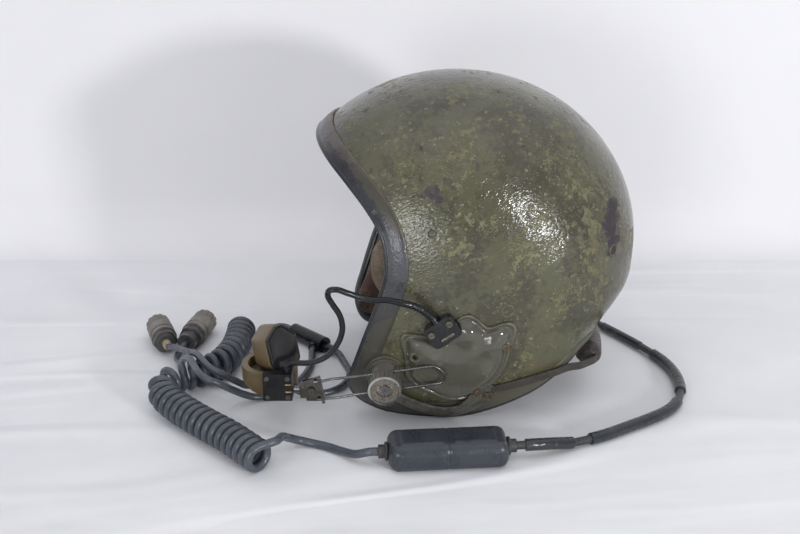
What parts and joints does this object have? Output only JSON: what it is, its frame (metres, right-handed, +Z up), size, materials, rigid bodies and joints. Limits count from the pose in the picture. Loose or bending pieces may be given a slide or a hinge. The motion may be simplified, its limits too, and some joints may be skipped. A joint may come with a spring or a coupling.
{
  "type": "crew helmet with microphone boom",
  "caption": "Open-face crew helmet with side covers, ear pads, a swinging microphone boom, an in-line box, a curly lead and plugs.",
  "frame": {"origin": "on the helmet's mid-plane, at the level it stands on, below the middle of the head opening", "axes": "+Z up, -X out of the face opening, -Y to the wearer's left, where the microphone boom is"},
  "size_m": [0.5262, 0.3321, 0.2881],
  "materials": {
    "shell_paint": "satin olive paint, worn",
    "rubber": "dull black-green rubber",
    "leather": "worn brown leather",
    "foam": "dark foam",
    "black_plastic": "moulded black plastic",
    "brown_plastic": "ochre-brown moulded plastic",
    "steel": "dull plated steel",
    "disc": "faded pink-brown disc"
  },
  "bodies": {
    "helmet": {"shell": "shell_paint", "rim_trim": "rubber", "impact_liner": "foam", "crown_pad": "leather", "brow_pad": "leather", "nape_pad": "leather", "ear_pad_left": "leather", "ear_pad_right": "leather", "ear_cup_left": "black_plastic", "ear_cup_right": "black_plastic", "earphone_left": "black_plastic", "earphone_right": "black_plastic", "side_cover_left": "shell_paint", "side_cover_right": "shell_paint", "cover_screws": "steel", "cable_gland": "rubber", "connector_block": "black_plastic", "connector_screws": "steel", "lead_sleeve": "rubber", "side_strap_left": "leather", "side_strap_right": "leather", "strap_rivets": "steel", "nape_strap_left": "leather", "nape_strap_right": "leather", "nape_roll": "leather", "boom_base": "shell_paint", "clamp_pin": "steel", "mic_cable_upper": "rubber", "main_cable": "rubber", "cable_sleeves": "rubber", "box_left_half": "black_plastic", "box_right_half": "black_plastic", "box_glands": "rubber", "feed_cable": "rubber", "curly_cord": "rubber", "coil_tail": "rubber", "y_junction": "rubber", "plug_cable_a": "rubber", "plug_cable_b": "rubber", "plug_backshell_a": "black_plastic", "plug_backshell_b": "black_plastic", "plug_body_a": "black_plastic", "plug_body_b": "black_plastic"},
    "clamp": {"clamp_drum": "black_plastic", "mic_cable_lower": "rubber"},
    "knob": {"clamp_knob": "steel", "knob_face": "disc"},
    "boom": {"boom_wire": "steel", "mic_bracket": "steel", "bracket_screw": "steel", "mic_shaft": "steel", "mic_cable_end": "rubber"},
    "mic": {"mic_block": "black_plastic", "block_screws": "steel", "mic_collar": "brown_plastic", "mic_housing": "brown_plastic", "mic_face": "black_plastic"},
    "ring_a": {"coupling_ring_a": "black_plastic"},
    "ring_b": {"coupling_ring_b": "black_plastic"}
  },
  "joints": [
    {"name": "boom_swing", "type": "hinge", "parent": "helmet", "child": "clamp", "pos_m": [-0.083, -0.108, 0.054], "axis": [0, 0.9962, 0.0872], "range_deg": [-2, 50], "deforming": ["mic_cable_upper"]},
    {"name": "knob_turn", "type": "hinge", "parent": "clamp", "child": "knob", "pos_m": [-0.083, -0.108, 0.054], "axis": [0, 0.9962, 0.0872], "range_deg": [0, 270]},
    {"name": "boom_slide", "type": "slide", "parent": "clamp", "child": "boom", "axis": [0.9877, -0.0136, 0.1558], "range_m": [-0.015, 0.012], "deforming": ["mic_cable_lower"]},
    {"name": "mic_turn", "type": "hinge", "parent": "boom", "child": "mic", "pos_m": [-0.16, -0.12, 0.03964], "axis": [1, 0, 0], "range_deg": [-15, 25], "deforming": ["mic_cable_end"]},
    {"name": "ring_turn_a", "type": "hinge", "parent": "helmet", "child": "ring_a", "pos_m": [-0.31872, 0.06769, 0.0127], "axis": [-0.3615, 0.9324, 0], "range_deg": [0, 90]},
    {"name": "ring_turn_b", "type": "hinge", "parent": "helmet", "child": "ring_b", "pos_m": [-0.27028, 0.0788, 0.0127], "axis": [0.2021, 0.9794, 0], "range_deg": [0, 90]}
  ]
}
